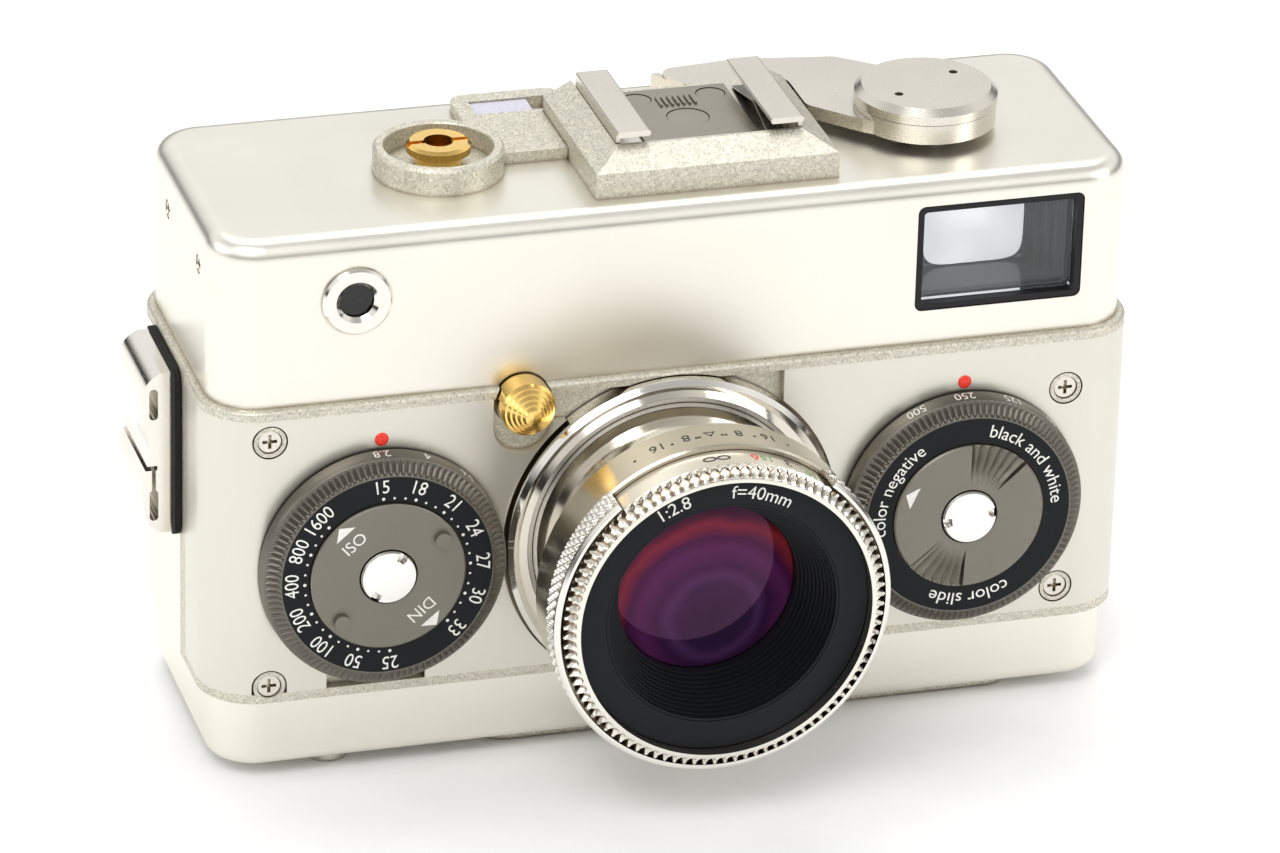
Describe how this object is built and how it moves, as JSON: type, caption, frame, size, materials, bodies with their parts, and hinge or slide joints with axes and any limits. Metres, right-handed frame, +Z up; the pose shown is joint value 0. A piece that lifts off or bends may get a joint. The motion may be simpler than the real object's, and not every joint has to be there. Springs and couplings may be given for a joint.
{
  "type": "compact viewfinder camera",
  "caption": "Compact 35 mm viewfinder camera: rounded metal body, collapsible lens, front dials for aperture and speed, accessory shoe, wind lever and finder window.",
  "frame": {"origin": "mouth of the tripod socket, in the plane of the raised base plate", "axes": "+X to the right seen from the front, +Y from the lens towards the back, +Z up"},
  "size_m": [0.1009, 0.0532, 0.0651],
  "materials": {
    "cast_frame": "fine grainy bead-blasted casting",
    "satin_cover": "satin champagne nickel plate",
    "front_panel": "satin champagne nickel plate",
    "polished_nickel": "mirror polished nickel",
    "satin_nickel": "satin brushed nickel",
    "gold": "polished gold plate",
    "dark_dial": "dark warm-grey anodised, satin",
    "disc_grey": "grey satin metal, lathe turned",
    "black_anodised": "matt black anodised",
    "black_plastic": "matt black",
    "silver_cap": "spun bright aluminium",
    "coated_glass": "magenta coated optical glass",
    "clear_glass": "clear optical glass",
    "dark_glass": "dark filter glass",
    "brass": "machined brass",
    "steel": "plain spring steel",
    "rubber": "black rubber",
    "board": "green circuit board",
    "battery_shell": "plated battery case",
    "tunnel_grey": "grey satin plastic"
  },
  "bodies": {
    "camera_body": {"chassis": "cast_frame", "light_box": "black_plastic", "front_panel_left": "front_panel", "front_panel_right": "front_panel", "top_cover": "satin_cover", "screws": "satin_nickel", "lens_flange": "polished_nickel", "meter_ring": "polished_nickel", "meter_cell": "dark_glass", "finder_frames": "black_plastic", "finder_glasses": "clear_glass", "finder_tunnel": "tunnel_grey", "button_guard": "cast_frame", "release_spring": "steel", "shoe_base": "cast_frame", "shoe_rails": "satin_nickel", "shoe_insulator": "cast_frame", "shoe_contacts": "satin_nickel", "shoe_spring": "steel", "indicator_frame": "cast_frame", "indicator_window": "clear_glass", "circuit_board": "board", "battery": "battery_shell", "strap_lug": "polished_nickel", "lug_pad": "rubber"},
    "lock_button": {"lock_button": "gold"},
    "shutter_button": {"shutter_button": "gold"},
    "wind_lever": {"wind_lever": "satin_nickel", "lever_cap": "satin_nickel", "lever_shaft": "steel"},
    "sprocket": {"sprocket": "black_anodised"},
    "take_up_spool": {"take_up_spool": "black_plastic"},
    "counter_disc": {"counter_disc": "black_anodised"},
    "guide_sleeve": {"guide_sleeve": "steel"},
    "lens_barrel": {"lens_tube": "polished_nickel", "depth_ring": "satin_nickel", "barrel_grip": "satin_nickel", "shutter_housing": "black_anodised", "iris_blades": "black_anodised", "rear_glass": "coated_glass"},
    "helicoid": {"helicoid_sleeve": "brass"},
    "focus_ring": {"focus_ring": "satin_nickel", "name_ring": "black_anodised", "front_cell": "black_anodised", "front_glass": "coated_glass"},
    "aperture_dial": {"aperture_dial": "dark_dial", "aperture_cap": "silver_cap"},
    "film_speed_disc": {"film_speed_disc": "disc_grey"},
    "speed_dial": {"speed_dial": "dark_dial", "speed_cap": "silver_cap"},
    "film_type_disc": {"film_type_disc": "disc_grey"},
    "back": {"back_cover": "satin_cover", "base_cover": "satin_cover", "base_plate": "cast_frame", "tripod_socket": "steel", "plate_springs": "steel"},
    "pressure_plate": {"pressure_plate": "black_anodised"},
    "latch_key": {"latch_key": "satin_nickel"},
    "rewind_knob": {"rewind_fork": "satin_nickel"},
    "rewind_handle": {"rewind_handle": "satin_nickel"}
  },
  "joints": [
    {"name": "lens_lock_press", "type": "slide", "parent": "camera_body", "child": "lock_button", "axis": [0, 1, 0], "range_m": [0, 0.0012], "stiffness_N_per_m": 250, "springref_m": -0.0008},
    {"name": "release_press", "type": "slide", "parent": "camera_body", "child": "shutter_button", "axis": [0, 0, -1], "range_m": [0, 0.0012], "stiffness_N_per_m": 300, "springref_m": -0.001, "deforming": ["release_spring"]},
    {"name": "wind_lever_swing", "type": "hinge", "parent": "camera_body", "child": "wind_lever", "pos_m": [0.0294, -0.0017, 0.05936], "axis": [0, 0, -1], "range_deg": [0, 130]},
    {"name": "sprocket_turn", "type": "hinge", "parent": "camera_body", "child": "sprocket", "pos_m": [0.0242, 0.0042, 0.024], "axis": [0, 0, 1], "range_deg": [0, 362]},
    {"name": "spool_turn", "type": "hinge", "parent": "camera_body", "child": "take_up_spool", "pos_m": [0.037, 0.0021, 0.024], "axis": [0, 0, -1], "range_deg": [0, 330]},
    {"name": "counter_turn", "type": "hinge", "parent": "camera_body", "child": "counter_disc", "pos_m": [0.029, -0.0035, 0.0027], "axis": [0, 0, -1], "range_deg": [0, 11]},
    {"name": "barrel_unlock_turn", "type": "hinge", "parent": "camera_body", "child": "guide_sleeve", "pos_m": [-0.0008, -0.0165, 0.02395], "axis": [0, 1, 0], "range_deg": [0, 30]},
    {"name": "barrel_collapse", "type": "slide", "parent": "guide_sleeve", "child": "lens_barrel", "axis": [0, 1, 0], "range_m": [0, 0.009]},
    {"name": "focus_travel", "type": "slide", "parent": "lens_barrel", "child": "helicoid", "axis": [0, -1, 0], "range_m": [0, 0.00187]},
    {"name": "focus_turn", "type": "hinge", "parent": "helicoid", "child": "focus_ring", "pos_m": [-0.0008, -0.0345, 0.02395], "axis": [0, -1, 0], "range_deg": [0, 100]},
    {"name": "aperture_turn", "type": "hinge", "parent": "camera_body", "child": "aperture_dial", "pos_m": [-0.03095, -0.0165, 0.0239], "axis": [0, -1, 0], "range_deg": [0, 132]},
    {"name": "film_speed_turn", "type": "hinge", "parent": "aperture_dial", "child": "film_speed_disc", "pos_m": [-0.03095, -0.0195, 0.0239], "axis": [0, -1, 0], "range_deg": [0, 136.5]},
    {"name": "speed_turn", "type": "hinge", "parent": "camera_body", "child": "speed_dial", "pos_m": [0.02986, -0.0165, 0.02365], "axis": [0, -1, 0], "range_deg": [-24, 192]},
    {"name": "film_type_turn", "type": "hinge", "parent": "speed_dial", "child": "film_type_disc", "pos_m": [0.02986, -0.0195, 0.02365], "axis": [0, -1, 0], "range_deg": [-120, 120]},
    {"name": "back_slide", "type": "slide", "parent": "camera_body", "child": "back", "axis": [0, 0, -1], "range_m": [0, 0.045]},
    {"name": "pressure_plate_float", "type": "slide", "parent": "back", "child": "pressure_plate", "axis": [0, 1, 0], "range_m": [0, 0.00025], "stiffness_N_per_m": 900, "springref_m": -0.0008},
    {"name": "latch_turn", "type": "hinge", "parent": "back", "child": "latch_key", "pos_m": [0.012, 0, 0.001], "axis": [0, 0, 1], "range_deg": [0, 90]},
    {"name": "rewind_turn", "type": "hinge", "parent": "back", "child": "rewind_knob", "pos_m": [-0.035, 0.0019, 0.001], "axis": [0, 0, -1], "continuous": true},
    {"name": "rewind_handle_fold", "type": "hinge", "parent": "rewind_knob", "child": "rewind_handle", "pos_m": [-0.035, 0.0031, 0.0007], "axis": [1, 0, 0], "range_deg": [0, 100]}
  ],
  "couplings": [
    {"joint": "sprocket_turn", "follows": "wind_lever_swing", "ratio": 2.77},
    {"joint": "spool_turn", "follows": "wind_lever_swing", "ratio": 2.5},
    {"joint": "counter_turn", "follows": "wind_lever_swing", "ratio": 0.07692},
    {"joint": "focus_travel", "follows": "focus_turn", "m_per_rad": 0.0010657}
  ]
}
